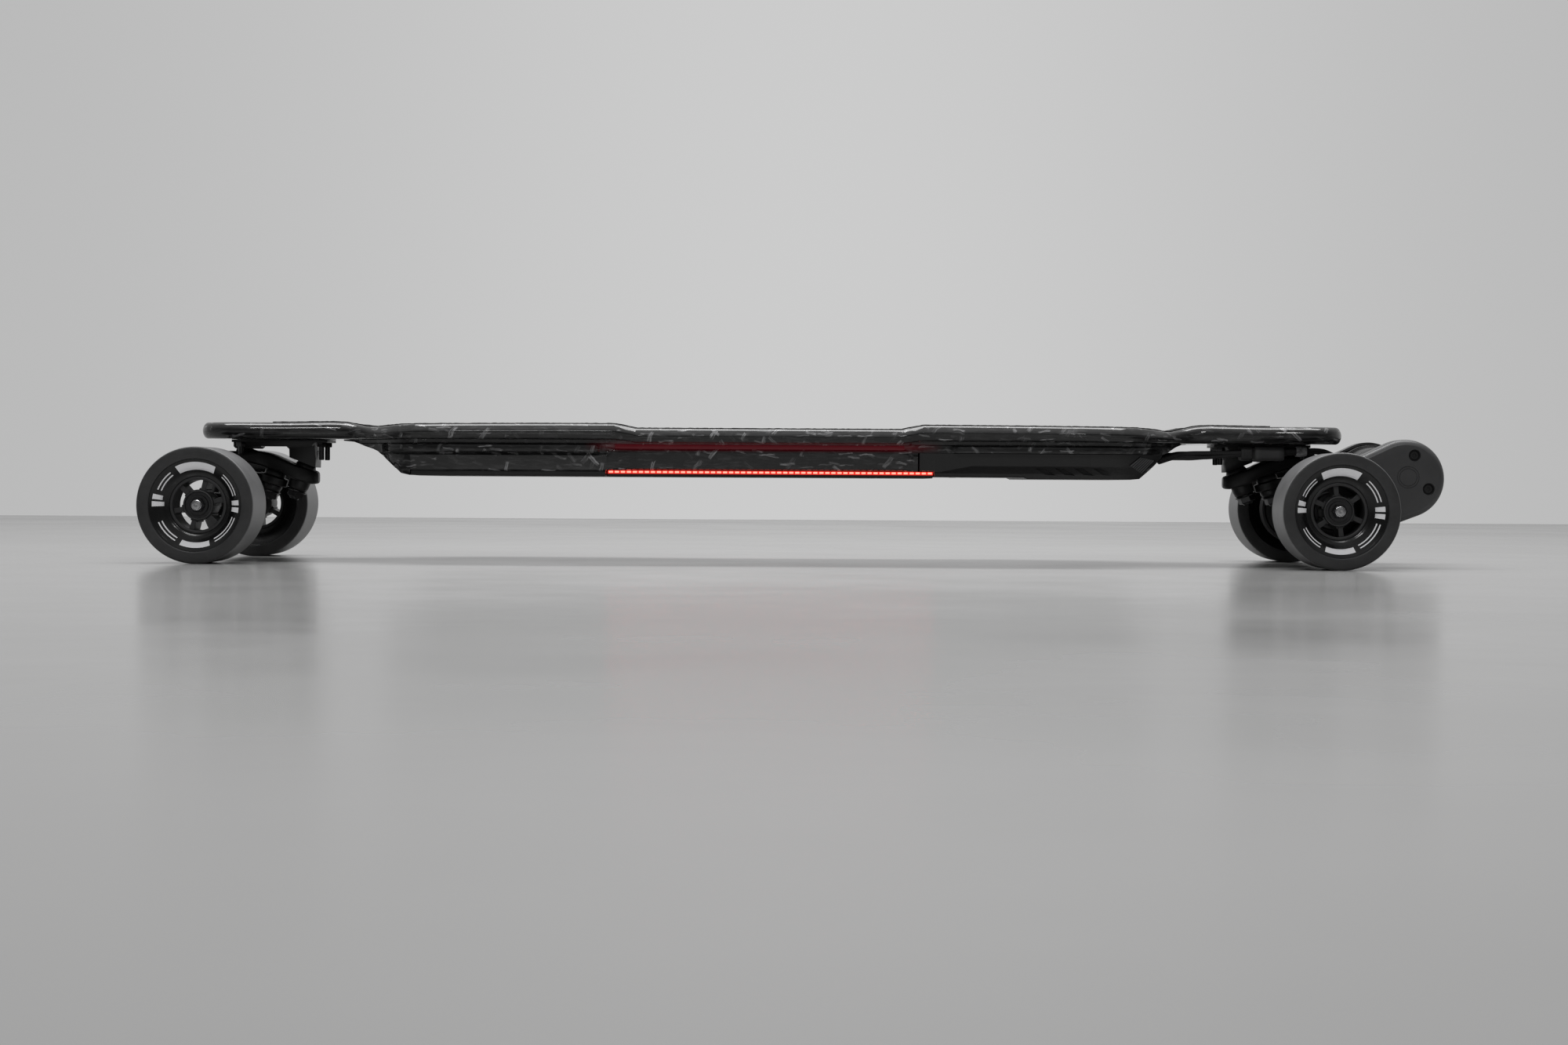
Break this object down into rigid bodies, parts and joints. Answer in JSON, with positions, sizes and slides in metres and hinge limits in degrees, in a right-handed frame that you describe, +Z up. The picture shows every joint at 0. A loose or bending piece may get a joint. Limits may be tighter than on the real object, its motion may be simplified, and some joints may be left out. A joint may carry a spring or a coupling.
{
  "type": "electric skateboard",
  "caption": "Electric skateboard with a narrow-nosed carbon deck, an enclosed battery hull, double-kingpin trucks, large wheels and belt drives at the rear.",
  "frame": {"origin": "centre of the bounding box in X and Y, on the floor under the wheels", "axes": "+X towards the tail and the driven wheels, +Z up, +Y towards the right-hand wheels when facing the nose"},
  "size_m": [1.091, 0.278, 0.1214],
  "materials": {
    "carbon": "gloss clear-coated forged carbon",
    "grip": "coarse grit",
    "cover_black": "satin",
    "battery_wrap": "heat-shrink wrap",
    "heatsink": "anodised",
    "led": "lit strip",
    "button": "gloss",
    "sleeve": "matte",
    "truck_black": "black satin coat",
    "steel": "plated",
    "bushing": "urethane",
    "urethane": "satin urethane",
    "core": "moulded nylon",
    "motor": "satin black",
    "pulley": "machined",
    "belt": "matte",
    "drive_cover": "satin dark grey"
  },
  "bodies": {
    "deck": {"deck_shell": "carbon", "grip_tape": "grip", "battery_hull": "carbon", "bottom_cover": "cover_black", "controller_cover": "cover_black", "battery_pack": "battery_wrap", "motor_controller": "heatsink", "led_strip_left": "led", "led_strip_right": "led", "harness_left": "sleeve", "harness_right": "sleeve", "connector_left": "sleeve", "connector_right": "sleeve", "front_baseplate": "truck_black", "front_upper_kingpin": "steel", "front_upper_bushing_top": "bushing", "front_upper_bushing_low": "bushing", "rear_baseplate": "truck_black", "rear_upper_kingpin": "steel", "rear_upper_bushing_top": "bushing", "rear_upper_bushing_low": "bushing"},
    "front_link": {"front_link": "truck_black", "front_lower_kingpin": "steel", "front_lower_bushing_top": "bushing", "front_lower_bushing_low": "bushing"},
    "front_hanger": {"front_hanger": "truck_black", "front_axle": "steel", "front_left_axle_nut": "steel", "front_right_axle_nut": "steel"},
    "front_left_wheel": {"front_left_tyre": "urethane", "front_left_core": "core"},
    "front_right_wheel": {"front_right_tyre": "urethane", "front_right_core": "core"},
    "rear_link": {"rear_link": "truck_black", "rear_lower_kingpin": "steel", "rear_lower_bushing_top": "bushing", "rear_lower_bushing_low": "bushing"},
    "rear_hanger": {"rear_hanger": "truck_black", "rear_axle": "steel", "rear_left_axle_nut": "steel", "rear_right_axle_nut": "steel", "rear_left_motor": "motor", "rear_left_mount": "truck_black", "rear_left_cover": "drive_cover", "rear_left_belt": "belt", "motor_lead_left": "sleeve", "rear_right_motor": "motor", "rear_right_mount": "truck_black", "rear_right_cover": "drive_cover", "rear_right_belt": "belt", "motor_lead_right": "sleeve"},
    "rear_left_wheel": {"rear_left_tyre": "urethane", "rear_left_core": "core", "rear_left_wheel_pulley": "pulley"},
    "rear_right_wheel": {"rear_right_tyre": "urethane", "rear_right_core": "core", "rear_right_wheel_pulley": "pulley"},
    "rear_left_rotor": {"rear_left_motor_pulley": "pulley"},
    "rear_right_rotor": {"rear_right_motor_pulley": "pulley"},
    "power_button": {"power_button": "button"}
  },
  "joints": [
    {"name": "front_link_carve", "type": "hinge", "parent": "deck", "child": "front_link", "pos_m": [-0.43519, 0, 0.07488], "axis": [0.9272, 0, -0.3745], "range_deg": [-10, 10], "stiffness_Nm_per_rad": 60, "deforming": ["front_upper_bushing_top", "front_upper_bushing_low"]},
    {"name": "front_hanger_carve", "type": "hinge", "parent": "front_link", "child": "front_hanger", "pos_m": [-0.46113, 0, 0.06989], "axis": [0.9022, 0, -0.4314], "range_deg": [-10, 10], "stiffness_Nm_per_rad": 60, "deforming": ["front_lower_bushing_top", "front_lower_bushing_low"]},
    {"name": "front_left_wheel_spin", "type": "hinge", "parent": "front_hanger", "child": "front_left_wheel", "pos_m": [-0.497, 0, 0.0485], "axis": [0, 1, 0], "continuous": true},
    {"name": "front_right_wheel_spin", "type": "hinge", "parent": "front_hanger", "child": "front_right_wheel", "pos_m": [-0.497, 0, 0.0485], "axis": [0, 1, 0], "continuous": true},
    {"name": "rear_link_carve", "type": "hinge", "parent": "deck", "child": "rear_link", "pos_m": [0.38619, 0, 0.07488], "axis": [0.9272, 0, 0.3745], "range_deg": [-10, 10], "stiffness_Nm_per_rad": 60, "deforming": ["rear_upper_bushing_top", "rear_upper_bushing_low"]},
    {"name": "rear_hanger_carve", "type": "hinge", "parent": "rear_link", "child": "rear_hanger", "pos_m": [0.41213, 0, 0.06989], "axis": [0.9022, 0, 0.4314], "range_deg": [-10, 10], "stiffness_Nm_per_rad": 60, "deforming": ["rear_lower_bushing_top", "rear_lower_bushing_low", "motor_lead_left", "motor_lead_right"]},
    {"name": "rear_left_wheel_spin", "type": "hinge", "parent": "rear_hanger", "child": "rear_left_wheel", "pos_m": [0.448, 0, 0.0485], "axis": [0, 1, 0], "continuous": true},
    {"name": "rear_right_wheel_spin", "type": "hinge", "parent": "rear_hanger", "child": "rear_right_wheel", "pos_m": [0.448, 0, 0.0485], "axis": [0, 1, 0], "continuous": true},
    {"name": "rear_left_motor_spin", "type": "hinge", "parent": "rear_hanger", "child": "rear_left_rotor", "pos_m": [0.5125, 0, 0.076], "axis": [0, 1, 0], "continuous": true},
    {"name": "rear_right_motor_spin", "type": "hinge", "parent": "rear_hanger", "child": "rear_right_rotor", "pos_m": [0.5125, 0, 0.076], "axis": [0, 1, 0], "continuous": true},
    {"name": "power_button_press", "type": "slide", "parent": "deck", "child": "power_button", "axis": [0, 0, 1], "range_m": [0, 0.001], "stiffness_N_per_m": 900}
  ],
  "couplings": [
    {"joint": "rear_left_motor_spin", "follows": "rear_left_wheel_spin", "ratio": 2.1333},
    {"joint": "rear_right_motor_spin", "follows": "rear_right_wheel_spin", "ratio": 2.1333}
  ]
}
